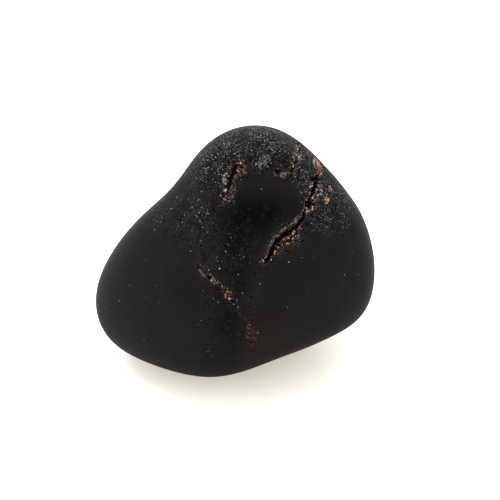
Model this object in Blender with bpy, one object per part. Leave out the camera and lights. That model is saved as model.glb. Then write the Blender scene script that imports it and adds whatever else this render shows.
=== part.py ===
"""A tumbled almandine garnet: one solid pebble, about 24 mm across, that rests on a small flat spot.

The pebble is a worn piece of crystal. Its form is a set of worn flats around one middle point, each
a plane that wear has rounded into its neighbours. Soft hollows and a ridge are pressed into that form,
its dome leans forward, and the spot that it rests on is flat. Open cracks and pits are cut into its
skin. All of it is measured in the front view, which looks down on the stone from 35 degrees.
"""

import math

import bmesh
import bpy
from mathutils import Matrix, Vector

MM = 0.001

# The front view: to the right, up in the view, and toward the viewer
VIEW_ELEVATION = math.radians(35)
RIGHT = Vector((1, 0, 0))
UP = Vector((0, math.sin(VIEW_ELEVATION), math.cos(VIEW_ELEVATION)))
TOWARD = Vector((0, -math.cos(VIEW_ELEVATION), math.sin(VIEW_ELEVATION)))

# Driving dimensions in mm: where the middle is, and how far the dome and the left lobe lean
MIDDLE = Vector((0.3, 0.405, 9.95))
DOME_LEAN = 3.2
DOME_RISE = 10.7
LOBE_LEAN = 1.6
LOBE_REACH = 12.0
# How sharply the flats meet: a higher power leaves sharper edges
EDGE_SHARPNESS = 12
SPHERE_LEVEL = 5
CRACK_SIDES = 8

# Worn flats: clock angle in the front view from the right, tilt toward the viewer, and reach in mm
OUTLINE_FLATS = [
    (350, 0, 12.4),
    (20, 0, 11.6),
    (46, 0, 10.5),
    (67, 0, 13.0),
    (90, 0, 11.5),
    (114, 0, 10.2),
    (140, 0, 8.6),
    (161, 0, 11.5),
    (183, 0, 13.5),
    (208, 0, 17.0),
    (227, 0, 15.9),
    (252, 0, 11.7),
    (292, 0, 9.9),
    (316, 0, 14.1),
]
FRONT_FLATS = [
    (85, 30, 11.6),
    (150, 40, 9.6),
    (205, 42, 11.2),
    (262, 45, 10.4),
    (320, 42, 10.4),
    (20, 40, 10.2),
    (0, 90, 9.2),
]
BACK_FLATS = [
    (75, -40, 9.4),
    (150, -40, 9.8),
    (215, -45, 11.4),
    (270, -35, 10.1),
    (345, -45, 10.8),
    (0, -90, 9.8),
]

# Soft hollows, in mm and degrees: right, up and toward the viewer from the middle, turn in the view,
# half-sizes along the turn, across it and toward the viewer, and depth. A ridge has a depth below zero
HOLLOWS = [
    # The deep scoop under the brow of the dome, and its long run-out below
    (1.9, 4.2, 8.0, 0, 3.4, 1.8, 6.0, 1.8),
    (1.6, 1.5, 8.0, 0, 3.4, 2.2, 6.0, 0.9),
    # The furrow that runs down from it, between the two halves of the front
    (0.0, -1.2, 9.0, 95, 3.4, 1.4, 6.0, 0.8),
    (-0.7, -6.1, 7.0, 100, 2.7, 1.6, 6.0, 1.3),
    # The saddle in the left slope
    (-5.4, 6.0, 0.0, 50, 4.0, 3.0, 8.0, 0.9),
    # The notch in the lower edge
    (3.2, -9.4, 0.0, 20, 1.8, 1.6, 3.0, 0.25),
    # The ridge along the right shoulder
    (8.3, 3.5, 4.0, -10, 2.6, 1.0, 4.0, -0.35),
    # Two broad, shallow hollows in the back
    (-3.5, 1.5, -8.5, 30, 4.5, 3.0, 5.0, 0.6),
    (4.5, -1.5, -8.5, 120, 3.5, 2.4, 5.0, 0.5),
]

# Cracks and pits, in mm. The near points are on the side toward the viewer and the far ones behind,
# each with its place to the right and up in the view, and the width and depth of the opening there
OPENINGS = {
    "main_crack": {
        "near": [
            (2.10, -1.00, 0.10, 0.15),
            (2.40, -0.42, 0.45, 0.60),
            (2.80, -0.10, 0.50, 0.75),
            (3.30, 0.52, 0.42, 0.65),
            (3.85, 1.00, 0.65, 0.60),
            (4.40, 1.45, 0.95, 0.65),
            (4.80, 2.00, 0.55, 0.55),
            (5.15, 2.45, 0.35, 0.50),
            (5.60, 3.05, 0.38, 0.55),
            (5.85, 3.60, 0.85, 0.65),
            (6.15, 4.25, 1.05, 0.75),
            (6.28, 5.00, 0.80, 0.80),
            (6.50, 5.70, 0.65, 0.90),
            (6.64, 6.30, 0.70, 0.90),
            (6.80, 6.85, 0.80, 0.45),
            (7.40, 7.50, 0.80, 0.25),
        ],
        "far": [
            (7.15, 7.00, 0.75, 0.40),
            (7.20, 6.30, 0.50, 0.50),
            (7.05, 5.20, 0.35, 0.50),
            (7.30, 4.10, 0.40, 0.40),
            (7.10, 3.20, 0.10, 0.15),
        ],
    },
    "shoulder_crack": {
        "near": [
            (7.50, 5.70, 0.10, 0.12),
            (7.48, 5.10, 0.34, 0.45),
            (7.42, 4.60, 0.30, 0.40),
            (7.28, 4.15, 0.48, 0.35),
            (7.15, 3.80, 0.12, 0.12),
        ],
    },
    "dome_crack": {
        "near": [
            (5.00, 8.95, 0.12, 0.12),
            (4.95, 8.50, 0.62, 0.45),
            (4.84, 7.90, 0.66, 0.50),
            (4.68, 7.25, 0.48, 0.50),
            (4.45, 6.65, 0.38, 0.45),
            (4.34, 6.15, 0.28, 0.35),
            (4.34, 5.75, 0.10, 0.12),
        ],
    },
    "left_gash": {
        "near": [
            (0.50, 7.20, 0.12, 0.12),
            (0.20, 6.80, 0.80, 0.35),
            (-0.30, 6.35, 1.00, 0.50),
            (-0.75, 5.75, 0.75, 0.65),
            (-1.00, 5.15, 0.70, 0.60),
            (-0.95, 4.55, 1.05, 0.55),
            (-1.15, 4.00, 0.80, 0.50),
            (-1.35, 3.50, 0.12, 0.12),
        ],
    },
    "lower_crack": {
        "near": [
            (-3.55, -1.00, 0.10, 0.12),
            (-3.20, -1.45, 0.40, 0.40),
            (-2.75, -1.85, 0.34, 0.45),
            (-2.10, -2.25, 0.45, 0.45),
            (-1.45, -2.75, 0.40, 0.40),
            (-1.00, -3.35, 0.42, 0.40),
            (-0.55, -3.95, 0.46, 0.40),
            (-0.05, -4.60, 0.26, 0.35),
            (0.35, -5.15, 0.14, 0.25),
            (0.80, -5.70, 0.20, 0.25),
            (1.02, -6.30, 0.62, 0.35),
            (1.12, -6.95, 0.72, 0.40),
            (1.20, -7.60, 0.36, 0.30),
            (1.26, -8.00, 0.10, 0.12),
        ],
    },
    "brow_hole": {
        "near": [(3.10, 6.55, 0.12, 0.12), (3.28, 6.38, 0.40, 0.40), (3.48, 6.20, 0.12, 0.12)],
    },
    "brow_chip": {
        "near": [(1.80, 7.85, 0.12, 0.12), (1.65, 7.35, 0.45, 0.30), (1.40, 6.85, 0.12, 0.12)],
    },
    "back_crack": {
        "far": [
            (-7.00, 2.90, 0.10, 0.12),
            (-6.20, 2.50, 0.30, 0.40),
            (-5.60, 1.70, 0.45, 0.55),
            (-5.20, 0.70, 0.35, 0.45),
            (-4.50, 0.00, 0.60, 0.55),
            (-4.10, -1.00, 0.35, 0.40),
            (-3.30, -1.70, 0.10, 0.12),
        ],
    },
    "back_split": {
        "far": [
            (1.60, 4.60, 0.10, 0.12),
            (2.40, 4.10, 0.40, 0.40),
            (3.10, 3.20, 0.30, 0.45),
            (4.10, 2.70, 0.55, 0.40),
            (4.80, 1.80, 0.10, 0.12),
        ],
    },
    "flank_crack": {
        "far": [
            (8.20, -1.40, 0.10, 0.12),
            (8.50, -2.20, 0.40, 0.40),
            (8.10, -3.10, 0.30, 0.40),
            (8.00, -4.00, 0.50, 0.40),
            (7.30, -4.80, 0.10, 0.12),
        ],
    },
}


def seen(clock, tilt):
    """The direction at a clock angle in the front view, tilted out of it toward the viewer."""
    clock, tilt = math.radians(clock), math.radians(tilt)
    in_view = math.cos(clock) * RIGHT + math.sin(clock) * UP
    return math.cos(tilt) * in_view + math.sin(tilt) * TOWARD


FLATS = [(seen(clock, tilt), reach) for clock, tilt, reach in OUTLINE_FLATS + FRONT_FLATS + BACK_FLATS]


def flats_reach(direction):
    """How far from the middle the flats are, rounded into each other."""
    total = sum(max(0.0, direction.dot(normal) / reach) ** EDGE_SHARPNESS for normal, reach in FLATS)
    return total ** (-1 / EDGE_SHARPNESS)


def pressed_in(point):
    """How deep the hollows are at a point, which is measured from the middle."""
    pressed = 0.0
    for right, up, toward, turn, along, across, through, depth in HOLLOWS:
        x, y, z = point.dot(RIGHT) - right, point.dot(UP) - up, point.dot(TOWARD) - toward
        cosine, sine = math.cos(math.radians(turn)), math.sin(math.radians(turn))
        lengthwise, sideways = cosine * x + sine * y, cosine * y - sine * x
        distance = (lengthwise / along) ** 2 + (sideways / across) ** 2 + (z / through) ** 2
        pressed += depth * math.exp(-distance)
    return pressed


def reach(direction):
    """How far from the middle the stone goes in a direction, before it leans."""
    worn = flats_reach(direction)
    return worn - pressed_in(direction * worn)


def skin(direction):
    """The point of the stone's skin in a direction from the middle, in metres."""
    point = direction * reach(direction)
    dome = DOME_LEAN * (max(0, point.dot(UP)) / DOME_RISE) ** 2
    lobe = LOBE_LEAN * (max(0, -point.dot(RIGHT)) / LOBE_REACH) ** 2
    return (MIDDLE + point + TOWARD * (dome - lobe)) * MM


def direction_at(right, up, side):
    """The direction of the skin that the front view shows at a place, on its near or far side."""
    in_view = RIGHT * right + UP * up
    inside, outside = 0.0, 2 * LOBE_REACH
    for _ in range(30):
        middle = (inside + outside) / 2
        point = in_view + TOWARD * middle * side
        if point.length < reach(point.normalized()):
            inside = middle
        else:
            outside = middle
    return (in_view + TOWARD * inside * side).normalized()


def skin_normal(direction):
    """Which way the skin faces, from its slope in two directions."""
    step = 0.01
    first = direction.orthogonal().normalized() * step
    second = direction.cross(first)
    here = skin(direction)
    slope_a = skin((direction + first).normalized()) - here
    slope_b = skin((direction + second).normalized()) - here
    return slope_a.cross(slope_b).normalized()


def new_object(name, mesh, collection):
    item = bpy.data.objects.new(name, mesh)
    collection.objects.link(item)
    return item


def opening(name, near, far, collection):
    """A cutter for a crack or a pit: flat ovals along its course, bridged into a tapering blade."""
    stations = [(direction_at(*place[:2], 1), *place[2:]) for place in near]
    stations += [(direction_at(*place[:2], -1), *place[2:]) for place in far]
    places = [skin(direction) for direction, _, _ in stations]
    bm = bmesh.new()
    rings = []
    for index, (direction, width, depth) in enumerate(stations):
        course = places[min(index + 1, len(places) - 1)] - places[max(index - 1, 0)]
        normal = skin_normal(direction)
        across = course.cross(normal).normalized()
        along = normal.cross(across)
        oval = Matrix((across * width * MM / 2, normal * depth * MM, along)).transposed().to_4x4()
        oval.translation = places[index]
        ring = bmesh.ops.create_circle(bm, segments=CRACK_SIDES, radius=1, matrix=oval)["verts"]
        rings.append({edge for vertex in ring for edge in vertex.link_edges})
    for ring, following in zip(rings, rings[1:]):
        bmesh.ops.bridge_loops(bm, edges=list(ring | following))
    bmesh.ops.holes_fill(bm, edges=[edge for edge in bm.edges if edge.is_boundary])
    bmesh.ops.recalc_face_normals(bm, faces=bm.faces[:])
    mesh = bpy.data.meshes.new(name)
    bm.to_mesh(mesh)
    bm.free()
    cutter = new_object(name, mesh, collection)
    cutter.hide_render = True
    cutter.display_type = "WIRE"
    return cutter


def garnet_material():
    """Almandine, nearly black with a trace of red, tumbled to a matt skin."""
    material = bpy.data.materials.new("tumbled_almandine")
    material.use_nodes = True
    surface = material.node_tree.nodes["Principled BSDF"]
    surface.inputs["Base Color"].default_value = (0.017, 0.014, 0.015, 1)
    surface.inputs["Roughness"].default_value = 0.6
    surface.inputs["Metallic"].default_value = 0.0
    return material


def garnet(collection):
    """The stone before its cracks: a sphere of triangles drawn onto the skin, flat where it rests."""
    bm = bmesh.new()
    bmesh.ops.create_icosphere(bm, subdivisions=SPHERE_LEVEL, radius=1)
    for vertex in bm.verts:
        vertex.co = skin(vertex.co.normalized())
    everything = bm.verts[:] + bm.edges[:] + bm.faces[:]
    bmesh.ops.bisect_plane(bm, geom=everything, plane_co=(0, 0, 0), plane_no=(0, 0, -1), clear_outer=True)
    bmesh.ops.holes_fill(bm, edges=[edge for edge in bm.edges if edge.is_boundary])
    mesh = bpy.data.meshes.new("garnet")
    bm.to_mesh(mesh)
    bm.free()
    mesh.materials.append(garnet_material())
    mesh.shade_smooth()
    return new_object("garnet", mesh, collection)


for item in list(bpy.data.objects):
    bpy.data.objects.remove(item)
parts = bpy.data.collections.new("almandine_garnet")
cutters = bpy.data.collections.new("cutters")
bpy.context.scene.collection.children.link(parts)
bpy.context.scene.collection.children.link(cutters)

stone = garnet(parts)
for name, course in OPENINGS.items():
    cutter = opening(name, course.get("near", []), course.get("far", []), cutters)
    cut = stone.modifiers.new(name, "BOOLEAN")
    cut.operation = "DIFFERENCE"
    cut.object = cutter
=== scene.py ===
# %% [markdown]
# # A tumbled almandine garnet
#
# Almandine is the iron garnet, and so dark a red that a lump of it looks black. This one was worn in a
# tumbling drum with coarse grit until its corners were round and its skin was evenly matt, and then it
# was left unpolished. What it keeps of the rough crystal are its old fractures: open, crumbly and
# stained by iron rust.
#
# The solid that this lesson loads is a plain model of the stone at its real size. The lesson makes the
# fine surface that stands in its place: the same form without facets, with the cracks broken open in
# detail, and then the finish and a small studio round it.

# %% The frame
import math
import random

import bmesh
import bpy
from mathutils import Matrix, Vector, noise
from mathutils.bvhtree import BVHTree
from mathutils.kdtree import KDTree


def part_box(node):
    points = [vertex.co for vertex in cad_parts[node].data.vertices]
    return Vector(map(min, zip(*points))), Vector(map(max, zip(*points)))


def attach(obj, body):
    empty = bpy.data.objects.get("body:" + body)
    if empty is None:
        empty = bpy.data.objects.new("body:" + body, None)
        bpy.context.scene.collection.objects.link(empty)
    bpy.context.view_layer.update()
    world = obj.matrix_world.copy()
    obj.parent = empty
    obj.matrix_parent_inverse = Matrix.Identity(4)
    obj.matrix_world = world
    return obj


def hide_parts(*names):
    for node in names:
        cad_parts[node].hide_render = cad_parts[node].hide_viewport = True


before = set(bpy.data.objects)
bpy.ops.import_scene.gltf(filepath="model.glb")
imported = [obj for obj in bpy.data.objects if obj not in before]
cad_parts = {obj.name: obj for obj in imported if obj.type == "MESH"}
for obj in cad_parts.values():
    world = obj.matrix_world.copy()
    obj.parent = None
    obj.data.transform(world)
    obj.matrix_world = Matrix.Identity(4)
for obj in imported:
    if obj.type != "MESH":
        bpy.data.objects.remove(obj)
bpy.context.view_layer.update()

MM = 0.001
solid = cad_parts["garnet"]
low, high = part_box("garnet")
print("the solid is", [round(side / MM, 2) for side in high - low], "mm")

# %% [markdown]
# ## Where things are
#
# Every crack and stain has its place in one view, from the front and 35 degrees above the table. A
# place there is three lengths in millimetres from a point inside the stone: to the right, up in the
# view, and toward the viewer. One could give positions in X, Y and Z instead, but then each of them
# would have to be worked out again from what the eye sees.

# %% The front view
VIEW_ELEVATION = math.radians(35)
RIGHT = Vector((1, 0, 0))
UP = Vector((0, math.sin(VIEW_ELEVATION), math.cos(VIEW_ELEVATION)))
TOWARD = Vector((0, -math.cos(VIEW_ELEVATION), math.sin(VIEW_ELEVATION)))
MIDDLE = Vector((0.3, 0.405, 9.95)) * MM


def in_view(right, up, toward=0.0):
    """The point at a place in the front view, given in mm."""
    return MIDDLE + (RIGHT * right + UP * up + TOWARD * toward) * MM


def place_of(point):
    """Where a point is in the front view: right, up and toward the viewer, in mm."""
    offset = (point - MIDDLE) / MM
    return offset.dot(RIGHT), offset.dot(UP), offset.dot(TOWARD)


print("the front view's own middle is", [round(value / MM, 2) for value in MIDDLE], "mm from the origin")

# %% [markdown]
# ## The skin
#
# A pebble has no edges to build from, so its skin starts as a ball of even triangles, which is drawn
# outward onto the solid. An icosphere is better for this than a UV sphere, whose triangles crowd
# together at the poles. Each corner of the ball is moved along a ray from the middle to where that ray
# leaves the solid.

# %% A ball of triangles, drawn onto the solid
BALL_LEVEL = 6
SAME_PLACE = 0.001 * MM
ray_end = (high - low).length


def merged_copy(mesh):
    """A copy of a mesh of loose triangles, with the corners that share a place merged."""
    bm = bmesh.new()
    bm.from_mesh(mesh)
    bmesh.ops.remove_doubles(bm, verts=bm.verts, dist=SAME_PLACE)
    return bm


def drawn_onto(tree, level):
    """A ball whose corners lie on the surface in a search tree, which finds where a ray meets it."""
    bm = bmesh.new()
    bmesh.ops.create_icosphere(bm, subdivisions=level, radius=1)
    for vertex in bm.verts:
        place, _, _, _ = tree.ray_cast(MIDDLE, vertex.co.normalized(), ray_end)
        vertex.co = place
    return bm


solid_tree = BVHTree.FromBMesh(merged_copy(solid.data))
skin = drawn_onto(solid_tree, BALL_LEVEL)
print("the ball has", len(skin.faces), "triangles")

# %% [markdown]
# ## Colours
#
# Colours are written as they look on a screen. Blender mixes light in linear values, so one function
# turns a hex colour into those.

# %% Colours
def linear(hex_colour):
    """A screen colour such as #808080 as the linear values that Blender mixes, with an alpha of 1."""
    channels = [int(hex_colour[start:start + 2], 16) / 255 for start in (1, 3, 5)]
    return Vector([c / 12.92 if c <= 0.04045 else ((c + 0.055) / 1.055) ** 2.4 for c in channels] + [1.0])


# The near-black of open gaps and of sunken crushed beds is painted shade over dark broken garnet; the same
# colour darkens scars and crumbs in spots, as dirt.
GAP_SHADE_AND_DIRT = linear("#0a0706")
WORN_LIP = linear("#574a43")
# Near-white, for the crumbs and grains that stand in for glints: painted highlights.
GLINT = linear("#c4c2be")
BARE_ROCK = [linear(colour) for colour in ("#161413", "#302c2a", "#4e4a48", "#716c69", "#9c9895")]
RUSTED_ROCK = [linear(colour) for colour in ("#1a110d", "#3a2216", "#5f3d2a", "#80604c", "#9a8270")]

print("a middle grey is", round(linear("#808080")[0], 3), "in linear values")

# %% [markdown]
# ## The courses of the cracks
#
# Each crack is a line of points across the stone. A point has its place in the front view and the
# width of the broken zone there. Then come the depth and the width of the open gap in that zone, and
# where the gap lies, from its left edge at -1 to its right edge at 1. The rest of the zone is crushed
# rock, and the last value says how rusty it is: above one, the rust is thick and dark. The near points
# lie on the side toward the viewer, the far ones behind.
#
# The cracks could also be cut with Boolean cutters, as in the solid. Moving the corners of a fine mesh
# inward gives broken and ragged walls more easily, and that is how these are made.

# %% The cracks, each point with right, up, width, depth, gap, place of the gap and rust
CRACKS = {
    "main_crack": {
        "near": [
            (2.28, -0.74, 0.42, 0.50, 0.40, -1.0, 0.0),
            (2.78, -0.12, 0.60, 0.65, 0.36, -1.0, 0.5),
            (3.26, 0.48, 0.92, 0.60, 0.32, -1.0, 0.9),
            (3.82, 0.94, 1.18, 0.55, 0.32, -1.0, 1.0),
            (4.38, 1.42, 1.16, 0.60, 0.32, -1.0, 0.9),
            (4.93, 1.98, 0.70, 0.55, 0.38, -1.0, 0.6),
            (5.22, 2.45, 0.44, 0.55, 0.36, -1.0, 0.1),
            (5.60, 3.05, 0.48, 0.55, 0.36, -0.9, 0.3),
            (5.85, 3.60, 1.00, 0.45, 0.12, -0.8, 1.0),
            (6.15, 4.25, 1.20, 0.55, 0.20, -0.4, 0.8),
            (6.32, 5.00, 1.60, 0.65, 0.40, 0.1, 0.1),
            (6.48, 5.60, 1.60, 0.75, 0.46, 0.2, 0.0),
            (6.62, 6.15, 1.10, 0.90, 0.54, 0.2, 0.0),
            (6.76, 6.45, 0.50, 0.50, 0.20, 0.5, 0.2),
            (7.10, 6.90, 0.20, 0.12, 0.06, 0.5, 0.6),
            (7.40, 7.40, 0.30, 0.15, 0.10, 0.0, 0.7),
        ],
        "far": [
            (7.15, 7.00, 0.60, 0.30, 0.30, -1.0, 0.5),
            (7.20, 6.30, 0.50, 0.50, 0.30, -1.0, 0.3),
            (7.05, 5.20, 0.35, 0.50, 0.35, 0.0, 0.2),
            (7.30, 4.10, 0.50, 0.40, 0.25, -1.0, 0.8),
            (7.10, 3.20, 0.10, 0.10, 0.10, 0.0, 0.0),
        ],
    },
    "shoulder_crack": {
        "near": [
            (7.62, 5.80, 0.08, 0.08, 0.08, 0.0, 0.0),
            (7.68, 5.35, 0.70, 0.45, 0.30, -0.6, 0.0),
            (7.66, 4.85, 0.66, 0.45, 0.28, -0.6, 0.0),
            (7.56, 4.55, 0.30, 0.20, 0.10, 0.0, 0.2),
            (7.50, 4.40, 0.08, 0.08, 0.00, 0.0, 0.5),
        ],
    },
    "dome_crack": {
        "near": [
            (5.12, 9.02, 0.20, 0.08, 0.00, 0.0, 0.0),
            (5.04, 8.62, 0.90, 0.35, 0.08, 0.3, 0.2),
            (4.92, 8.00, 1.10, 0.50, 0.18, 0.3, 0.4),
            (4.76, 7.40, 0.84, 0.55, 0.28, 0.6, 0.4),
            (4.58, 6.85, 0.66, 0.50, 0.24, 1.0, 0.8),
            (4.38, 6.30, 0.58, 0.35, 0.14, 1.0, 1.0),
            (4.28, 5.80, 0.10, 0.08, 0.08, 0.0, 0.8),
        ],
    },
    "brow_hole": {
        "near": [
            (3.06, 6.58, 0.16, 0.30, 0.16, 0.0, 0.0),
            (3.28, 6.46, 0.50, 0.60, 0.50, 0.0, 0.0),
            (3.50, 6.34, 0.16, 0.30, 0.16, 0.0, 0.0),
        ],
    },
    "brow_nick": {
        "near": [
            (1.86, 8.05, 0.10, 0.06, 0.10, 0.0, 0.0),
            (1.66, 7.70, 0.50, 0.30, 0.16, 0.4, 0.3),
            (1.44, 7.25, 0.46, 0.20, 0.10, 0.0, 0.3),
            (1.22, 6.90, 0.08, 0.06, 0.08, 0.0, 0.0),
        ],
    },
    "left_gash": {
        "near": [
            (0.20, 7.25, 0.30, 0.10, 0.00, 0.0, 0.5),
            (-0.02, 6.85, 1.00, 0.40, 0.40, -0.5, 0.9),
            (-0.45, 6.35, 1.10, 0.50, 0.40, 0.0, 0.5),
            (-0.75, 5.85, 1.00, 0.50, 0.36, 0.5, 0.0),
            (-0.95, 5.30, 0.80, 0.40, 0.24, 0.6, 0.1),
            (-1.00, 4.80, 0.80, 0.25, 0.10, 0.5, 0.5),
            (-1.05, 4.30, 1.00, 0.25, 0.10, -0.6, 0.6),
            (-1.30, 3.95, 0.60, 0.15, 0.00, 0.0, 0.5),
            (-1.50, 3.70, 0.10, 0.08, 0.00, 0.0, 0.5),
        ],
    },
    "lower_crack": {
        "near": [
            (-3.70, -0.90, 0.08, 0.06, 0.00, 0.0, 0.0),
            (-3.35, -1.30, 0.34, 0.25, 0.16, 0.5, 0.3),
            (-2.90, -1.70, 0.40, 0.20, 0.08, 0.6, 0.3),
            (-2.50, -2.00, 0.42, 0.45, 0.20, -0.5, 0.4),
            (-2.10, -2.25, 0.50, 0.20, 0.00, 0.0, 0.3),
            (-1.60, -2.60, 0.50, 0.20, 0.00, 0.0, 0.0),
            (-1.35, -2.95, 0.36, 0.20, 0.06, -0.5, 0.4),
            (-1.10, -3.25, 0.52, 0.18, 0.06, -0.5, 1.4),
            (-0.85, -3.60, 0.60, 0.20, 0.08, 0.5, 1.4),
            (-0.50, -4.05, 0.46, 0.20, 0.08, 0.5, 1.2),
            (-0.25, -4.50, 0.20, 0.18, 0.06, -0.5, 0.3),
            (-0.08, -4.95, 0.22, 0.40, 0.22, 0.0, 0.0),
            (0.10, -5.20, 0.10, 0.10, 0.05, -0.5, 0.0),
            (0.80, -5.85, 0.14, 0.10, 0.03, -0.5, 0.2),
            (0.96, -6.20, 0.36, 0.20, 0.00, 0.0, 1.4),
            (1.06, -6.85, 0.64, 0.22, 0.00, 0.0, 1.3),
            (1.10, -7.45, 0.50, 0.20, 0.00, 0.0, 1.3),
            (1.14, -7.95, 0.08, 0.06, 0.00, 0.0, 1.0),
        ],
    },
    "back_crack": {
        "far": [
            (-7.00, 2.90, 0.10, 0.10, 0.10, 0.0, 0.0),
            (-6.20, 2.50, 0.35, 0.40, 0.28, -1.0, 0.4),
            (-5.60, 1.70, 0.80, 0.55, 0.32, -0.9, 0.9),
            (-5.20, 0.70, 0.38, 0.45, 0.38, 0.0, 0.2),
            (-4.50, 0.00, 0.90, 0.55, 0.27, 0.9, 0.6),
            (-4.10, -1.00, 0.38, 0.40, 0.38, 0.0, 0.1),
            (-3.30, -1.70, 0.10, 0.10, 0.10, 0.0, 0.0),
        ],
    },
    "back_split": {
        "far": [
            (1.60, 4.60, 0.10, 0.10, 0.10, 0.0, 0.0),
            (2.40, 4.10, 0.55, 0.40, 0.22, -0.9, 0.7),
            (3.10, 3.20, 0.32, 0.45, 0.32, 0.0, 0.1),
            (4.10, 2.70, 0.75, 0.40, 0.23, -0.9, 0.9),
            (4.80, 1.80, 0.10, 0.10, 0.10, 0.0, 0.0),
        ],
    },
    "flank_crack": {
        "far": [
            (8.20, -1.40, 0.10, 0.10, 0.10, 0.0, 0.0),
            (8.50, -2.20, 0.50, 0.40, 0.15, -0.8, 0.8),
            (8.10, -3.10, 0.32, 0.40, 0.32, 0.0, 0.1),
            (8.00, -4.00, 0.65, 0.40, 0.20, -0.8, 0.9),
            (7.30, -4.80, 0.10, 0.10, 0.10, 0.0, 0.0),
        ],
    },
}

# %% [markdown]
# ## Flakes
#
# Where a knock took off a thin flake, its scar shows a colour of its own: rusty, pinkish or grey. The
# lip of the main crack is worn in the same way. A scar is too shallow to need a cutter, so a flake is
# given as a crack is, by a short line of points.

# %% Flakes knocked off, each with a colour and then points with right, up and width
FLAKES = {
    "rim_flake": (
        "#74564a",
        [(6.54, 7.62, 0.70), (6.72, 7.25, 1.30), (6.86, 6.90, 1.10), (6.94, 6.55, 0.40)],
    ),
    "rim_sliver": (
        "#918a83",
        [(6.32, 7.62, 0.10), (6.34, 7.42, 0.34), (6.38, 7.14, 0.30), (6.44, 6.95, 0.10)],
    ),
    "main_lip": (
        "#403734",
        [(4.22, 1.78, 0.10), (4.48, 2.16, 0.34), (4.80, 2.56, 0.34), (5.06, 2.94, 0.10)],
    ),
    "shoulder_stain": (
        "#7d5f49",
        [(7.38, 4.54, 0.16), (7.42, 4.38, 0.50), (7.38, 4.16, 0.46), (7.30, 4.00, 0.14)],
    ),
    "dome_lump": (
        "#6c5d55",
        [(4.90, 8.60, 0.10), (4.80, 8.20, 0.40), (4.70, 7.80, 0.36), (4.60, 7.50, 0.10)],
    ),
    "brow_flake": (
        "#494045",
        [(3.42, 6.22, 0.10), (3.70, 6.28, 0.60), (3.95, 6.34, 0.54), (4.15, 6.40, 0.10)],
    ),
    "hole_rim": (
        "#7c7876",
        [(3.00, 6.36, 0.04), (3.05, 6.26, 0.12), (3.16, 6.18, 0.12), (3.36, 6.15, 0.04)],
    ),
    "brow_chip": (
        "#444445",
        [(2.30, 7.85, 0.10), (2.18, 7.55, 0.36), (1.98, 7.05, 0.44), (1.72, 6.60, 0.10)],
    ),
    "gash_stain": (
        "#45302a",
        [(0.62, 7.05, 0.10), (0.40, 6.82, 0.70), (0.26, 6.50, 0.70), (0.22, 6.15, 0.10)],
    ),
    "gash_lump": (
        "#5d5956",
        [(-0.98, 6.35, 0.10), (-1.10, 6.02, 0.42), (-1.12, 5.70, 0.40), (-1.12, 5.40, 0.10)],
    ),
    "gash_pink": (
        "#382e30",
        [(-0.20, 5.30, 0.10), (-0.42, 4.90, 0.54), (-0.62, 4.45, 0.50), (-0.76, 4.15, 0.10)],
    ),
    "lower_flake": (
        "#554e48",
        [(-3.15, -1.52, 0.10), (-2.88, -1.84, 0.30), (-2.60, -2.14, 0.10)],
    ),
    "lower_smudge": (
        "#2c2e31",
        [(-3.30, -0.90, 0.10), (-3.00, -1.20, 0.40), (-2.70, -1.50, 0.10)],
    ),
    "lower_stain": (
        "#35221b",
        [(0.94, -5.95, 0.10), (1.02, -6.60, 0.56), (1.08, -7.30, 0.66), (1.14, -8.05, 0.20)],
    ),
}

# %% [markdown]
# ## Courses on the surface
#
# The places above are flat, as in a drawing. A ray through each of them finds the point of the stone
# that is seen there. Between the points, a course is cut into short steps, so that any corner of the
# mesh can look up the nearest step and read the values there. A curve object could hold the course as
# well, but it has no room for all the other values of a point.

# %% Finding the courses
def on_surface(tree, right, up, side):
    """The point of a surface at a place in the front view, on its near or far side, and its normal."""
    start = in_view(right, up) + TOWARD * ray_end * side
    place, normal, _, _ = tree.ray_cast(start, -TOWARD * side)
    if place is None:
        outward = (RIGHT * right + UP * up).normalized()
        place, normal, _, _ = tree.ray_cast(MIDDLE, outward, ray_end)
    return place, normal


def crack_courses(tree):
    """The cracks as lines of points on a surface, each with its normal and its other values."""
    for crack in CRACKS.values():
        course = []
        for side, name in ((1, "near"), (-1, "far")):
            for right, up, *values in crack.get(name, []):
                course.append((*on_surface(tree, right, up, side), values))
        yield course


def flake_courses(tree):
    """The flakes as lines of points on a surface, each with its normal, its width and its colour."""
    for colour, points in FLAKES.values():
        yield [(*on_surface(tree, right, up, 1), (width, *linear(colour))) for right, up, width in points]


STEP = 0.04 * MM


def samples_of(courses):
    """Courses cut into short steps: place, direction, normal and the values there."""
    samples = []
    for course in courses:
        for (start, start_normal, start_values), (end, end_normal, end_values) in zip(course, course[1:]):
            steps = max(1, math.ceil((end - start).length / STEP))
            for step in range(steps):
                share = step / steps
                normal = start_normal.lerp(end_normal, share).normalized()
                values = [first + (last - first) * share for first, last in zip(start_values, end_values)]
                samples.append((start.lerp(end, share), (end - start).normalized(), normal, values))
    return samples


def tree_along(samples):
    """A search tree that finds the step of a crack or a flake that is nearest to a point."""
    tree = KDTree(len(samples))
    for index, sample in enumerate(samples):
        tree.insert(sample[0], index)
    tree.balance()
    return tree


rough_samples = samples_of(crack_courses(solid_tree))
print(len(CRACKS), "cracks in", len(rough_samples), "steps, and", len(FLAKES), "flakes")

# %% [markdown]
# ## Closing the solid's grooves, and smoothing the facets
#
# The solid has plain grooves where its cracks are, and flat facets everywhere. Both go before the fine
# cracks are broken in: the corners near a groove are relaxed until they bridge it like a film, and
# then the whole skin is smoothed a little. The flat spot that the stone rests on is left out. A Smooth
# modifier could do the same, but it would come last and round off the fine cracks too.

# %% Smoothing
GROOVE_MARGIN = 0.6 * MM
FLAT_HEIGHT = 0.02 * MM
BRIDGING_ROUNDS = 60
SMOOTHING_ROUNDS = 4


def smooth(bm, vertices, rounds):
    """Moves corners halfway toward the middle of their neighbours, several times."""
    for _ in range(rounds):
        bmesh.ops.smooth_vert(
            bm, verts=vertices, factor=0.5, use_axis_x=True, use_axis_y=True, use_axis_z=True
        )


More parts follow.
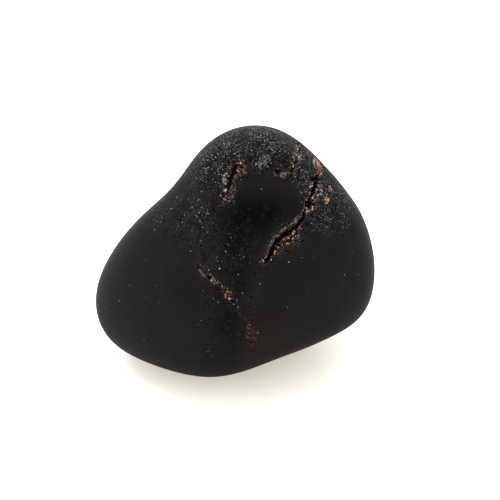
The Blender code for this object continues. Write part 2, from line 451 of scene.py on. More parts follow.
def near_cracks(bm, samples, margin):
    """The corners of a mesh that lie in a crack or a scar, or within a margin of it."""
    tree = tree_along(samples)
    found = []
    for vertex in bm.verts:
        _, index, distance = tree.find(vertex.co)
        if distance < samples[index][3][0] * MM / 2 + margin:
            found.append(vertex)
    return found


bridged = near_cracks(skin, rough_samples, GROOVE_MARGIN)
smooth(skin, bridged, BRIDGING_ROUNDS)
round_part = [vertex for vertex in skin.verts if vertex.co.z > low.z + FLAT_HEIGHT]
smooth(skin, round_part, SMOOTHING_ROUNDS)
bmesh.ops.subdivide_edges(skin, edges=skin.edges[:], cuts=1, use_grid_fill=True)
round_part = [vertex for vertex in skin.verts if vertex.co.z > low.z + FLAT_HEIGHT]
smooth(skin, round_part, SMOOTHING_ROUNDS)
print("bridged", len(bridged), "corners; the skin has", len(skin.faces), "triangles")

# %% [markdown]
# ## How hollow each place is
#
# Tumbling frosts what stands proud and reaches into hollows far less. The darker hollows of the
# finish are partly this and partly painted shade. The finish will need to know which is which, so each
# corner keeps a number, its relief: how far it stands out of a copy of the skin that has been smoothed
# until the hollows have filled. The Pointiness of a Geometry node looks only as far as the next faces,
# so it would miss hollows as broad as these. The number is kept in a layer of the mesh, which travels
# through every later subdivision.

# %% Relief
FILLING_ROUNDS = 400


def keep_relief(bm):
    """Stores how far each corner stands out of a much smoothed copy, in mm."""
    filled = bm.copy()
    smooth(filled, filled.verts[:], FILLING_ROUNDS)
    layer = bm.verts.layers.float.new("relief")
    bm.normal_update()
    for vertex, filled_vertex in zip(bm.verts, filled.verts):
        vertex[layer] = (vertex.co - filled_vertex.co).dot(vertex.normal) / MM
    filled.free()
    return [vertex[layer] for vertex in bm.verts]


relief = keep_relief(skin)
print("relief from", round(min(relief), 2), "to", round(max(relief), 2), "mm")

# %% [markdown]
# ## Finer triangles where the stone is broken
#
# A crack's ragged wall needs triangles of about a twentieth of a millimetre. A whole skin of them
# would be over a million, so only the strips along the cracks are divided again: a wide strip once,
# and a narrow one inside it a second time.

# %% Dividing along the cracks
WIDE_STRIP = 0.45 * MM
NARROW_STRIP = 0.15 * MM


def divide(bm, edges):
    """Cuts edges in half, turns what comes of it back into triangles, and takes off flaps of two faces."""
    bmesh.ops.subdivide_edges(bm, edges=edges, cuts=1, use_grid_fill=True)
    bmesh.ops.triangulate(bm, faces=[face for face in bm.faces if len(face.verts) > 3])
    flaps = [vertex for vertex in bm.verts if len(vertex.link_faces) == 2]
    bmesh.ops.delete(bm, geom=flaps, context="VERTS")


skin_tree = BVHTree.FromBMesh(skin)
cracks = samples_of(crack_courses(skin_tree))
flakes = samples_of(flake_courses(skin_tree))
for strip in (WIDE_STRIP, NARROW_STRIP):
    inside = set(near_cracks(skin, cracks + flakes, strip))
    divide(skin, [edge for edge in skin.edges if inside.issuperset(edge.verts)])
    print("after a strip of", round(strip / MM, 2), "mm:", len(skin.faces), "triangles")

# %% [markdown]
# ## Breaking the cracks open
#
# Seen across, a crack is a dark gap with steep walls, and beside the gap lies a bed of crushed rock.
# Cell noise shapes the bed: lumps where it is rusty, and where it is bare a lattice of thin walls with
# holes between them. Each cell draws its own colour by chance, and soft noise sinks deeper pits. Where
# the bed sinks, its colour is darkened toward near-black as painted shade. The cells could be modelled
# one by one, but there are thousands, and noise gives them their real size as well. Depths and heights
# are in millimetres here, as in the list of cracks.

# %% The crushed bed
LUMP_HEIGHT, LUMP_SIZE, LUMP_STRETCH = 0.15, 0.20 * MM, 0.4
LUMP_SLOPE, LATTICE_SLOPE = (0.0, 0.4), (0.05, 0.32)
LUMPS_WHERE_RUSTY = (0.1, 0.6)
CELL_CHANCES = 9
BED_DEPTH = 0.05
PIT_DEPTH, PIT_SIZE, PIT_SLOPE = 0.25, 0.34 * MM, 0.2
FEW_PITS, PIT_SPREAD = 0.10, 0.20
BARE_DARKNESS, RUST_DARKNESS = 0.6, 0.7


def ramp(value, start, end):
    """0 before start, 1 after end, and a smooth rise between."""
    share = min(1.0, max(0.0, (value - start) / (end - start)))
    return share * share * (3 - 2 * share)


def rock_colour(chance, shade, rust):
    """The colour of a lump or crumb, from two random numbers between 0 and 1 and from the rust there."""
    palette = RUSTED_ROCK if chance < rust else BARE_ROCK
    return palette[int(shade ** (BARE_DARKNESS + RUST_DARKNESS * rust) * len(palette))]


def bed_at(place, along, rust):
    """The crushed bed at a place: its depth in mm, and its colour, darkened where it sinks as painted
    shade.
    """
    drawn_out = place - along * place.dot(along) * LUMP_STRETCH
    distances, middles = noise.voronoi(drawn_out / LUMP_SIZE, distance_metric="MANHATTAN")
    inner = distances[1] - distances[0]
    lump = ramp(inner, *LUMP_SLOPE)
    lattice = 1 - ramp(inner, *LATTICE_SLOPE)
    height = lattice + (lump - lattice) * ramp(rust, *LUMPS_WHERE_RUSTY)
    first_pit = FEW_PITS - PIT_SPREAD * (1 - min(rust, 1.0))
    pit = ramp(noise.noise(drawn_out / PIT_SIZE), first_pit, first_pit + PIT_SLOPE)
    chance, shade, _ = noise.cell_vector(middles[0] * CELL_CHANCES)
    depth = BED_DEPTH + LUMP_HEIGHT * (1 - height) + PIT_DEPTH * pit
    # Where the bed sinks, between lumps and in pits, its colour fades to near-black: painted shade.
    return depth, GAP_SHADE_AND_DIRT.lerp(rock_colour(chance, shade, rust), height * (1 - pit))


# %% [markdown]
# ## The shape of an opening
#
# Whether a place on the skin is in the opening depends on how far it lies from the crack's line,
# measured across it. Noise added to that distance makes the edges ragged: coarse noise gives their
# bends and fine noise their teeth. The wall between the rim and the floor runs over less than a tenth
# of a millimetre, so it stands nearly upright. Where the gap lies at the left edge of the crack, the
# lip beside it has been struck most by the grit in the drum, and is worn round and pale in patches.

# %% An opening
BEND, BEND_SIZE = 0.18, 0.45 * MM
TOOTH, TOOTH_SIZE = 0.10, 0.15 * MM
WALL_RUN = 0.08
LIP_DEPTH, LIP_WIDTH = 0.04, 0.17
LIP_PATCH_SIZE, LIP_PATCHES = 0.40 * MM, (-0.4, 0.1)
LIP_WHERE_LEFT, LIP_WHERE_WIDE = (0.6, 1.0), (0.2, 0.5)
LIP_COVER = 0.8


def across_of(along, normal):
    """The direction across a crack in the skin, to the right in the front view."""
    across = along.cross(normal).normalized()
    return across if across.dot(RIGHT) > 0 else -across


def opening_at(place, sample):
    """A crack at a place: its depth in mm, how much of the stone's colour it hides, and its colour."""
    centre, along, normal, (width, depth, gap, lean, rust) = sample
    across = across_of(along, normal)
    offset = (place - centre) / MM
    side = math.copysign(math.hypot(offset.dot(across), offset.dot(along)), offset.dot(across))
    side += BEND * noise.noise(place / BEND_SIZE) + TOOTH * noise.noise(place / TOOTH_SIZE)
    inside = ramp(width / 2 - abs(side), 0.0, WALL_RUN)
    gap_middle = lean * (width - gap) / 2
    in_bed = ramp(abs(side - gap_middle) - gap / 2, -WALL_RUN / 2, WALL_RUN / 2)
    bed_depth, bed_colour = bed_at(place, along, rust)
    floor_depth = depth + (min(bed_depth, depth) - depth) * in_bed
    lip = 0.0
    if side < 0:
        lip = ramp(width / 2 - abs(side), -LIP_WIDTH, 0.0) * (1 - inside) * ramp(-lean, *LIP_WHERE_LEFT)
    patch = ramp(noise.noise(place / LIP_PATCH_SIZE), *LIP_PATCHES)
    worn = lip * ramp(width, *LIP_WHERE_WIDE) * patch
    # The open gap is near-black: painted shade over dark broken garnet.
    colour = WORN_LIP.lerp(GAP_SHADE_AND_DIRT.lerp(bed_colour, in_bed), inside)
    return floor_depth * inside + LIP_DEPTH * worn, max(inside, LIP_COVER * worn), colour


# %% [markdown]
# ## The scar of a flake
#
# A scar has a nearly flat floor, a twentieth of a millimetre deep. Its outline is as ragged as a
# crack's, but less so where it is narrow. No scar is clean, so fine noise darkens it in spots.

# %% A scar
SCAR_DEPTH, SCAR_RUN = 0.05, 0.12
FULLY_RAGGED = 0.5
SPOT_SIZE, SPOTS, DARKEST_SPOT = 0.20 * MM, (-0.4, 0.2), 0.4


def scar_at(place, sample):
    """A scar at a place: its depth in mm, how much of the stone's colour it hides, and its colour."""
    centre, _, _, (width, *colour) = sample
    away = (place - centre).length / MM
    ragged = BEND * noise.noise(place / BEND_SIZE) + TOOTH * noise.noise(place / TOOTH_SIZE)
    away += ragged * min(1.0, width / FULLY_RAGGED)
    inside = ramp(width / 2 - away, -SCAR_RUN / 2, SCAR_RUN / 2)
    light = DARKEST_SPOT + (1 - DARKEST_SPOT) * ramp(noise.noise(place / SPOT_SIZE), *SPOTS)
    return SCAR_DEPTH * inside, inside, GAP_SHADE_AND_DIRT.lerp(Vector(colour), light)


# %% [markdown]
# ## Cutting
#
# The openings are cut along the skin's own normals, and edges that this has stretched are cut in half.
# What the finish needs is kept in layers of the mesh: the colour of the broken rock, and how much of
# the stone's own colour it hides. A painted image could hold the same, but it would need an unwrapped
# skin and could never be as sharp as the mesh.

# %% Cutting
STRETCHED = 0.11 * MM


def break_open(bm, cracks, flakes):
    """Moves the corners in cracks and scars inward, and stores the colours of the broken rock in layers."""
    crack_tree = tree_along(cracks)
    flake_tree = tree_along(flakes)
    cover = bm.verts.layers.float.new("broken")
    tint = bm.verts.layers.float_color.new("broken_colour")
    bm.normal_update()
    moves = []
    for vertex in bm.verts:
        sunk = 0.0
        for tree, samples, shape in ((crack_tree, cracks, opening_at), (flake_tree, flakes, scar_at)):
            _, index, distance = tree.find(vertex.co)
            if distance < samples[index][3][0] * MM / 2 + WIDE_STRIP:
                depth, hides, colour = shape(vertex.co, samples[index])
                sunk = max(sunk, depth)
                vertex[tint] = vertex[tint].lerp(colour, hides if vertex[cover] > 0 else 1.0)
                vertex[cover] = max(vertex[cover], hides)
        if sunk > 0:
            moves.append((vertex, vertex.normal * sunk * MM))
    for vertex, move in moves:
        vertex.co -= move
    return len(moves)


moved = break_open(skin, cracks, flakes)
broken = skin.verts.layers.float["broken"]
in_cracks = [edge for edge in skin.edges if edge.verts[0][broken] > LIP_COVER]
divide(skin, [edge for edge in in_cracks if edge.calc_length() > STRETCHED])
print("moved", moved, "corners;", len(skin.faces), "triangles")

# %% [markdown]
# ## Bruises
#
# Grit strikes what stands proud, so the dome and the shoulder are dusted with tiny pale bruises, and
# the hollows have few. Soft round zones in the front view say where the dusting is heavy, and soft
# noise does so behind. The stone close to a crack is bruised as well. Bruises could be painted on by
# hand, but a zone with a place and a size is easier to read and to move.

# %% Bruised zones, each with right, up, radius and weight
BRUISED = [
    (2.2, 8.9, 2.8, 1.0),
    (-1.3, 8.0, 2.8, 0.9),
    (-2.6, 6.6, 2.2, 0.6),
    (-3.6, 2.8, 2.8, 0.45),
    (-6.2, 3.4, 2.6, 0.30),
    (-1.4, 0.6, 3.6, 0.26),
    (-0.6, -3.6, 3.6, 0.20),
    (-1.0, -7.5, 3.4, 0.14),
    (8.0, 3.2, 2.2, 0.75),
    (8.7, 4.4, 2.0, 0.75),
    (6.5, 5.2, 1.8, 1.0),
    (6.2, 2.6, 1.2, 0.8),
    (5.3, 7.3, 2.0, 0.9),
]
BRUISED_NEAR_CRACKS, NEAR_CRACKS = 0.7, 0.9
BRUISED_EVERYWHERE = 0.07
BRUISED_BEHIND, PATCH_SIZE, PATCHES = 0.5, 6 * MM, (-0.2, 0.6)
ZONE_CORE, ZONE_RIM = 0.3, 1.3
TURNING = 2.5

# %% [markdown]
# ## Rust in the stone
#
# Rust has soaked into the stone itself in two places: round the foot of the lower crack, and where the
# main crack goes over the rim. Its zones are soft and round too, so one function reads both lists.

# %% Rust-soaked zones, each with right, up, radius and weight
SOAKED = [
    (1.8, -7.2, 2.2, 0.4),
    (7.4, 7.2, 1.0, 0.5),
]


def zone_weight(zones, right, up):
    """The weight of the strongest of some soft round zones at a place in the front view."""
    weights = []
    for zone_right, zone_up, radius, weight in zones:
        away = math.hypot(right - zone_right, up - zone_up)
        weights.append(weight * (1 - ramp(away, ZONE_CORE * radius, ZONE_RIM * radius)))
    return max(weights)


def keep_bruises(bm, samples):
    """Stores in layers how bruised and how rust-soaked each corner is, from 0 to 1."""
    tree = tree_along(samples)
    bruise = bm.verts.layers.float.new("bruise")
    soaked = bm.verts.layers.float.new("soaked")
    for vertex in bm.verts:
        _, index, distance = tree.find(vertex.co)
        width = samples[index][3][0]
        away = distance / MM - width / 2
        near = BRUISED_NEAR_CRACKS * min(1.0, width) * (1 - ramp(away, 0.0, NEAR_CRACKS))
        right, up, toward = place_of(vertex.co)
        in_front = ramp(toward, -TURNING, TURNING)
        patch = BRUISED_BEHIND * ramp(noise.noise(vertex.co / PATCH_SIZE), *PATCHES)
        zones = patch + (zone_weight(BRUISED, right, up) - patch) * in_front
        vertex[bruise] = max(BRUISED_EVERYWHERE, near, zones)
        vertex[soaked] = zone_weight(SOAKED, right, up) * in_front


keep_bruises(skin, cracks)
bruise = skin.verts.layers.float["bruise"]
mean_bruise = sum(vertex[bruise] for vertex in skin.verts) / len(skin.verts)
print("the skin is bruised", round(mean_bruise, 2), "on average")

# %% [markdown]
# ## The finished skin
#
# Here the mesh in the making becomes an object. It is shaded smooth, because a tumbled stone has no
# edges, while the crumbs that come next stay angular. The frame's own calls say which body a piece
# rides on, and hide the solid that the skin stands in for.

# %% From a mesh to a piece of the stone
def shown(name, bm, smooth_shaded):
    """Makes a piece of the stone from a mesh in the making."""
    mesh = bpy.data.meshes.new(name)
    bm.to_mesh(mesh)
    bm.free()
    if smooth_shaded:
        mesh.shade_smooth()
    piece = bpy.data.objects.new(name, mesh)
    bpy.context.scene.collection.objects.link(piece)
    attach(piece, "root")
    print(name, "has", len(mesh.polygons), "faces")
    return piece


skin.normal_update()
open_edges = sum(not edge.is_manifold for edge in skin.edges)
print("edges of the skin that aren't between two faces:", open_edges)
garnet_skin = shown("garnet_skin", skin, smooth_shaded=True)
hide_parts("garnet")

# %% [markdown]
# ## Crumbs
#
# The crushed rock falls to crumbs, and iron rust glues them in place. Each crumb is a small ball of
# twenty faces, squeezed, turned and made angular at random, and rooted in the bed of its crack, with
# its top at the skin or a little below it. Particles could scatter them as well, but the exported
# model would lose them. All crumbs are one mesh, and each has its own colour.

# %% One crumb
CRUMB_ROOT = 0.12 * MM
DEEPEST_TOP = 0.07
SLIMMEST, STOUTEST, ANGULAR = 0.7, 1.4, 0.25


def place_crumb(bm, tint, place, axes, radius, colour, pick):
    """Adds one crumb at a place on the skin."""
    top = pick.uniform(0.0, DEEPEST_TOP) * MM
    half_height = max(radius, CRUMB_ROOT)
    turn = Matrix.Rotation(pick.uniform(0, math.tau), 3, "Z")
    squeeze = Matrix.Diagonal((radius * pick.uniform(SLIMMEST, STOUTEST), radius, half_height))
    matrix = (Matrix(axes).transposed() @ turn @ squeeze).to_4x4()
    matrix.translation = place - axes[2] * (top + half_height)
    made = bmesh.ops.create_icosphere(bm, subdivisions=1, radius=1, matrix=matrix)["verts"]
    for vertex in made:
        push = Vector((pick.uniform(-1, 1), pick.uniform(-1, 1), pick.uniform(-1, 1)))
        vertex.co += push * radius * ANGULAR
        vertex[tint] = colour


# %% [markdown]
# ## Scattering the crumbs
#
# Crumbs lie where a crack is crushed, and not in its open gap. At each step of a crack one is set down
# by chance, the likelier the wider the crack is, so that they lie equally dense everywhere. They could
# be scattered over the faces of the skin instead, but the steps already know the gap and the rust. A
# few crumbs and a few lone grains in the smooth stone are near-white, as painted glints, and the
# grains' places are given one by one.

# %% Crumbs in the cracks, and grains painted as glints, each with right and up
CRUMB_SPACING = 0.20 * MM
SMALLEST_CRUMB, LARGEST_CRUMB, MOSTLY_SMALL = 0.03 * MM, 0.10 * MM, 2.2
GLINTING = 0.08
CRUMB_SEED = 7
GLINT_GRAIN, GRAIN_STANDS = 0.075 * MM, 0.07 * MM
GLINT_GRAINS = [
    (4.19, -0.91),
    (5.26, -0.51),
    (2.72, -0.72),
    (0.03, -1.93),
    (0.37, -3.46),
    (-1.50, -1.44),
    (4.94, 8.53),
]


def crumbs_in(samples, seed):
    """Scatters crumbs over the crushed share of every crack, and sets the grains painted as glints."""
    pick = random.Random(seed)
    bm = bmesh.new()
    tint = bm.verts.layers.float_color.new("broken_colour")
    for centre, along, normal, (width, _, gap, lean, rust) in samples:
        across = across_of(along, normal)
        reach = pick.uniform(-width / 2, width / 2)
        in_gap = abs(reach - lean * (width - gap) / 2) < gap / 2
        if not in_gap and pick.random() < STEP * width * MM / CRUMB_SPACING ** 2:
            place = centre + across * reach * MM
            radius = SMALLEST_CRUMB + (LARGEST_CRUMB - SMALLEST_CRUMB) * pick.random() ** MOSTLY_SMALL
            colour = rock_colour(pick.random(), pick.random(), rust)
            # A share of the crumbs in bare rock turns near-white: painted glints.
            if pick.random() < GLINTING * (1 - rust):
                colour = GLINT
            place_crumb(bm, tint, place, (across, along, normal), radius, colour, pick)
    for right, up in GLINT_GRAINS:
        place, normal = on_surface(skin_tree, right, up, 1)
        along = normal.cross(RIGHT).normalized()
        axes = (along.cross(normal), along, normal)
        place_crumb(bm, tint, place + normal * GRAIN_STANDS, axes, GLINT_GRAIN, GLINT, pick)
    bmesh.ops.recalc_face_normals(bm, faces=bm.faces)
    return bm


crack_crumbs = shown("crack_crumbs", crumbs_in(cracks, CRUMB_SEED), smooth_shaded=False)

# %% [markdown]
# ## Nodes
#
# A material is a tree of nodes. One function adds a node of any kind, with its settings and with what
# goes into it. Inputs go by their names, or by number where several share one: in a Mix node for
# colours, 0 is the amount, 6 and 7 are the two colours, and output 2 is the mixed one.

# %% A helper for nodes
def add(tree, kind, inputs=None, **settings):
    """Adds a node with its settings. An input is given a value, or is linked from another node's output."""
    node = tree.nodes.new(kind)
    for name, value in settings.items():
        setattr(node, name, value)
    for name, value in (inputs or {}).items():
        if isinstance(value, bpy.types.NodeSocket):
            tree.links.new(value, node.inputs[name])
        else:
            node.inputs[name].default_value = value
    return node


# %% [markdown]
# ## The finish
#
# Tumbled almandine is close to black, with a breath of purple-red, and quite matt, because the grit
# has broken its skin into facets of a few hundredths of a millimetre. Those are too fine to show, so
# the grain is drawn at a tenth of a millimetre. Where the stone was struck hardest, the bruises are
# large enough to see: a pale dust, with dark pits in it and a few bright sparks. Dull round grains
# stay in the hollows, where the grit doesn't reach.
#
# An image could be painted for all this. Noise on the stone's own coordinates needs no unwrapping and
# has a real size, and a turned pattern doesn't line up with the stone's axes.

# %% Sizes of the pattern, and the coats over the stone
TURN = (0.5, 0.8, 0.3)
GRAIN_SIZE, GRAIN_DEPTH = 0.10 * MM, 0.012 * MM
RAGGED_SIZE, RAGGED_REACH = 0.09 * MM, 0.11 * MM
BRUISE_PATCH_SIZE = 1.4 * MM
FACET_SIZE = 0.12 * MM
DULL_GRAINS = {"spacing": 0.55 * MM, "radius": 0.22 * MM}
PITS = {"spacing": 0.17 * MM, "radius": 0.13 * MM}
SPARKS = {"spacing": 0.16 * MM, "radius": 0.045 * MM}
DOT_CORE, FAINTEST_DOT = 0.55, 0.4

# The bare colour shows in the hollows: near black, partly unfrosted stone and partly painted shade.
ALMANDINE_IN_HOLLOW_SHADE = linear("#020202")
FROSTED = linear("#110f0f")
RUST_SOAKED = linear("#180e0b")
PALE_DUST = linear("#474647")
DULL_GRAIN = linear("#131213")
PIT = linear("#010101")
SPARK = linear("#8e8d8f")


def dots(tree, place, share, spacing, radius):
    """Dots in a jittered grid, each as strong as chance has it, drawn in a share of the grid's cells."""
    cells = add(tree, "ShaderNodeTexVoronoi", {"Vector": place, "Scale": 1 / spacing})
    rim = radius / spacing
    spot = add(
        tree, "ShaderNodeMapRange",
        {"Value": cells.outputs["Distance"], "From Min": rim, "From Max": DOT_CORE * rim},
        interpolation_type="SMOOTHSTEP",
    )
    chances = add(tree, "ShaderNodeSeparateColor", {"Color": cells.outputs["Color"]})
    drawn = add(tree, "ShaderNodeMath", {0: chances.outputs["Red"], 1: share}, operation="LESS_THAN")
    force = add(tree, "ShaderNodeMapRange", {"Value": chances.outputs["Green"], "To Min": FAINTEST_DOT})
    strength = add(tree, "ShaderNodeMath", {0: drawn.outputs[0], 1: force.outputs[0]}, operation="MULTIPLY")
    return add(
        tree, "ShaderNodeMath", {0: spot.outputs["Result"], 1: strength.outputs[0]}, operation="MULTIPLY"
    ).outputs[0]


# %% [markdown]
# ## Broken rock
#
# Broken rock is a mosaic of small facets, and only the few that face the light are bright. Here that
# light and shade are painted: each facet's brightness is a random number, squared, which makes most
# facets dark and a few bright, as painted glints.

# %% The mosaic of broken rock
FACET_LIGHT = {"To Min": 0.15, "To Max": 2.6}


def broken_rock_painted_glints(tree, ragged, tint):
    """The colour of broken rock: its tint with painted glints and shade, darker or brighter from facet to
    facet.
    """
    facets = add(tree, "ShaderNodeTexVoronoi", {"Vector": ragged, "Scale": 1 / FACET_SIZE})
    facing = add(tree, "ShaderNodeSeparateColor", {"Color": facets.outputs["Color"]}).outputs["Red"]
    glint = add(tree, "ShaderNodeMath", {0: facing, 1: 2.0}, operation="POWER").outputs[0]
    light = add(tree, "ShaderNodeMapRange", {"Value": glint, **FACET_LIGHT}).outputs["Result"]
    return add(tree, "ShaderNodeVectorMath", {0: tint, 1: light}, operation="MULTIPLY").outputs["Vector"]


# %% [markdown]
# ## The coats
#
# The coats are laid over the bare stone one after another, each by its own amount: frost where the
# stone stands proud, which leaves the hollows darker as painted shade, rust where it has soaked in,
# dust, dots and sparks where it is bruised, and last the broken rock, which hides all the others. A
# node graph could be drawn by hand as well, but a list of amounts and coats shows their order at a
# glance.

# %% Tumbled garnet, and the ranges that turn relief and noise into amounts
# Relief sets the amount of frost; where it is low, the hollows keep the darker bare colour as painted
# shade.
FROST_AND_UNSHADED = {"From Min": -0.26, "From Max": 0.45}
PATCHY = {"From Min": 0.3, "From Max": 0.6, "To Min": 0.35, "To Max": 1.0}
DUSTED = {"From Min": 0.48, "From Max": 0.74}
MATT = {"To Min": 0.5, "To Max": 0.7}
DULL_BELOW, PITTED_ABOVE = 0.65, 0.08


def tumbled_garnet():
    """Almandine, tumbled and left unpolished: near black and matt, dusted with bruises, darker in the
    hollows as painted shade.
    """
    material = bpy.data.materials.new("tumbled_garnet")
    material.use_nodes = True
    tree = material.node_tree
    tree.nodes.clear()
    centre = add(tree, "ShaderNodeTexCoord").outputs["Object"]
    place = add(tree, "ShaderNodeMapping", {"Vector": centre, "Rotation": TURN}).outputs["Vector"]
    grain = add(
        tree, "ShaderNodeTexNoise", {"Vector": place, "Scale": 1 / GRAIN_SIZE, "Detail": 1.0}
    ).outputs["Fac"]
    rough = add(tree, "ShaderNodeTexNoise", {"Vector": place, "Scale": 1 / RAGGED_SIZE}).outputs["Color"]
    ragged = add(
        tree, "ShaderNodeVectorMath", {0: rough, 1: (RAGGED_REACH,) * 3, 2: place}, operation="MULTIPLY_ADD"
    ).outputs["Vector"]

    relief, bruise, soaked, broken = [
        add(tree, "ShaderNodeAttribute", attribute_name=name).outputs["Fac"]
        for name in ("relief", "bruise", "soaked", "broken")
    ]
    tint = add(tree, "ShaderNodeAttribute", attribute_name="broken_colour").outputs["Color"]
    patches = add(
        tree, "ShaderNodeTexNoise", {"Vector": place, "Scale": 1 / BRUISE_PATCH_SIZE, "Detail": 1.0}
    ).outputs["Fac"]
    patchy = add(tree, "ShaderNodeMapRange", {"Value": patches, **PATCHY}).outputs["Result"]
    bruised = add(tree, "ShaderNodeMath", {0: patchy, 1: bruise}, operation="MULTIPLY").outputs[0]
    dust = add(tree, "ShaderNodeMapRange", {"Value": grain, **DUSTED}).outputs["Result"]
    dusting = add(tree, "ShaderNodeMath", {0: dust, 1: bruised}, operation="MULTIPLY").outputs[0]
    struck = add(tree, "ShaderNodeMath", {0: bruised, 1: bruise}, operation="MULTIPLY").outputs[0]
    pitted = add(tree, "ShaderNodeMath", {0: bruise, 1: PITTED_ABOVE}, operation="SUBTRACT").outputs[0]
    frost_and_unshaded = add(tree, "ShaderNodeMapRange", {"Value": relief, **FROST_AND_UNSHADED}).outputs["Result"]
    hollow = add(tree, "ShaderNodeMath", {0: DULL_BELOW, 1: frost_and_unshaded}, operation="SUBTRACT").outputs[0]

    # Frost fades where relief is low, so the hollows are painted darker: painted shade.
    colour = ALMANDINE_IN_HOLLOW_SHADE
    for amount, coat in (
        (frost_and_unshaded, FROSTED),
        (soaked, RUST_SOAKED),
        (dusting, PALE_DUST),
        (dots(tree, ragged, hollow, **DULL_GRAINS), DULL_GRAIN),
        (dots(tree, ragged, pitted, **PITS), PIT),
        (dots(tree, ragged, struck, **SPARKS), SPARK),
        (broken, broken_rock_painted_glints(tree, ragged, tint)),
    ):
        colour = add(tree, "ShaderNodeMix", {0: amount, 6: colour, 7: coat}, data_type="RGBA").outputs[2]
    matt = add(tree, "ShaderNodeMapRange", {"Value": grain, **MATT}).outputs["Result"]
    bump = add(tree, "ShaderNodeBump", {"Height": grain, "Distance": GRAIN_DEPTH}).outputs["Normal"]
    shader = add(
        tree, "ShaderNodeBsdfPrincipled",
        {"Base Color": colour, "Roughness": matt, "Specular IOR Level": 0.02, "IOR": 1.5, "Normal": bump},
    )
    add(tree, "ShaderNodeOutputMaterial", {"Surface": shader.outputs["BSDF"]})
    return material


garnet_skin.data.materials.append(tumbled_garnet())
print("the stone's finish has", len(garnet_skin.active_material.node_tree.nodes), "nodes")

# %% [markdown]
# ## The crumbs' finish
#
# The crumbs are broken garnet and quartz, glued with iron rust: dull, and a little glossier than the
# skin, because their faces are fresh. Each has its own colour in a layer of the mesh, which soft noise
# darkens in spots, as dirt does.

# %% Crumbs of rock and rust
DIRT_SIZE, DIRT = 0.08 * MM, {"From Min": 0.35, "From Max": 0.65}


def rusted_crumbs():
    """Broken garnet and quartz, dull, glued with iron rust."""
    material = bpy.data.materials.new("rusted_crumbs")
    material.use_nodes = True
    tree = material.node_tree
    tree.nodes.clear()
    tint = add(tree, "ShaderNodeAttribute", attribute_name="broken_colour").outputs["Color"]
    place = add(tree, "ShaderNodeTexCoord").outputs["Object"]
    grain = add(tree, "ShaderNodeTexNoise", {"Vector": place, "Scale": 1 / DIRT_SIZE}).outputs["Fac"]
    clean = add(tree, "ShaderNodeMapRange", {"Value": grain, **DIRT}).outputs["Result"]
    colour = add(tree, "ShaderNodeMix", {0: clean, 6: GAP_SHADE_AND_DIRT, 7: tint}, data_type="RGBA").outputs[2]
    shader = add(
        tree, "ShaderNodeBsdfPrincipled",
        {"Base Color": colour, "Roughness": 0.5, "Specular IOR Level": 0.3, "IOR": 1.5},
    )
    add(tree, "ShaderNodeOutputMaterial", {"Surface": shader.outputs["BSDF"]})
    return material


crack_crumbs.data.materials.append(rusted_crumbs())
print("the crumbs' finish has", len(crack_crumbs.active_material.node_tree.nodes), "nodes")

# %% [markdown]
# ## The studio
#
# A nearly black stone needs bright and even surroundings to show its form: a white sheet that glows a
# little, a white room, and one large soft lamp behind it on the left. A small hard lamp would show
# only as spots of light.

# %% The white sheet
SHEET_REACH = 600 * MM
SHEET = linear("#e7e7e7")
WARM_GLOW, GLOW_STRENGTH = (1.0, 0.94, 0.75, 1.0), 0.365


def matt_sheet():
    """A white sheet, lit through from below as on a light table."""
    material = bpy.data.materials.new("white_light_table")
    material.use_nodes = True
    shader = material.node_tree.nodes["Principled BSDF"]
    shader.inputs["Base Color"].default_value = SHEET
    shader.inputs["Roughness"].default_value = 0.8
    shader.inputs["Specular IOR Level"].default_value = 0.2
    shader.inputs["Emission Color"].default_value = WARM_GLOW
    shader.inputs["Emission Strength"].default_value = GLOW_STRENGTH
    return material


bm = bmesh.new()
bmesh.ops.create_grid(bm, x_segments=1, y_segments=1, size=SHEET_REACH)
floor_mesh = bpy.data.meshes.new("floor")
bm.to_mesh(floor_mesh)
bm.free()
floor_mesh.materials.append(matt_sheet())
floor = bpy.data.objects.new("floor", floor_mesh)
bpy.context.scene.collection.objects.link(floor)
print("the sheet reaches", round(SHEET_REACH / MM), "mm each way")

# %% [markdown]
# ## The light
#
# The white room is the world's own light, which is the same from every side. The lamp is a square of
# 300 mm that faces the stone. A sun lamp would light the stone as well, but its shadow has a hard edge.

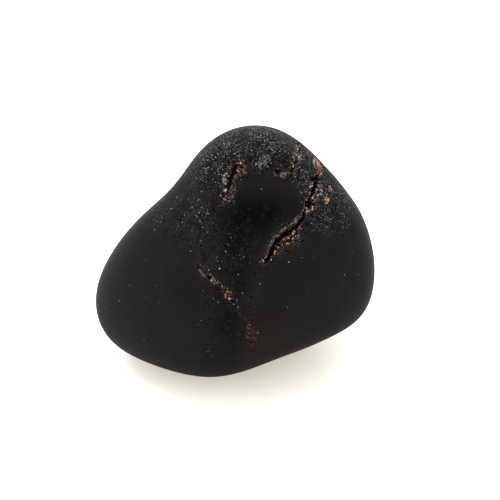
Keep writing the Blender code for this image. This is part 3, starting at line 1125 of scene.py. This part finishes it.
# %% The white room and the soft lamp
ROOM_LIGHT = 1.66
LAMP_PLACE, LAMP_AIM = Vector((-0.12, 0.12, 0.37)), Vector((0, 0, 0.01))
LAMP_SIZE, LAMP_WATTS = 300 * MM, 3.0

world = bpy.data.worlds.new("white_room")
bpy.context.scene.world = world
world.use_nodes = True
world.node_tree.nodes["Background"].inputs["Color"].default_value = (1, 1, 1, 1)
world.node_tree.nodes["Background"].inputs["Strength"].default_value = ROOM_LIGHT

lamp = bpy.data.lights.new("soft_box", "AREA")
lamp.size = LAMP_SIZE
lamp.energy = LAMP_WATTS
soft_box = bpy.data.objects.new("soft_box", lamp)
bpy.context.scene.collection.objects.link(soft_box)
soft_box.location = LAMP_PLACE
soft_box.rotation_mode = "QUATERNION"
soft_box.rotation_quaternion = (LAMP_PLACE - LAMP_AIM).to_track_quat("Z", "Y")
print("the lamp is", round((LAMP_PLACE - LAMP_AIM).length / MM), "mm from the stone")

# %% [markdown]
# ## The camera
#
# The camera looks along the line of the front view, from 225 mm away. Its lens follows from how many
# millimetres the picture spans at that distance. The stone lies a little left of the picture's middle,
# and a shifted lens gives that without turning the camera off its line.

# %% The camera
FRAME_PIXELS = 500
PIXELS_PER_MM = 11.708
DISTANCE = 225 * MM
SENSOR_WIDTH = 36
SHIFT_PIXELS = (12, 1)
camera_data = bpy.data.cameras.new("camera")
camera_data.sensor_width = SENSOR_WIDTH
camera_data.lens = SENSOR_WIDTH * DISTANCE / (FRAME_PIXELS / PIXELS_PER_MM * MM)
camera_data.shift_x, camera_data.shift_y = [pixels / FRAME_PIXELS for pixels in SHIFT_PIXELS]
camera = bpy.data.objects.new("camera", camera_data)
bpy.context.scene.collection.objects.link(camera)
camera.location = MIDDLE + TOWARD * DISTANCE
camera.rotation_mode = "QUATERNION"
camera.rotation_quaternion = TOWARD.to_track_quat("Z", "Y")
bpy.context.scene.camera = camera
bpy.context.scene.view_settings.view_transform = "Standard"
print("the lens is", round(camera_data.lens, 1), "mm long")
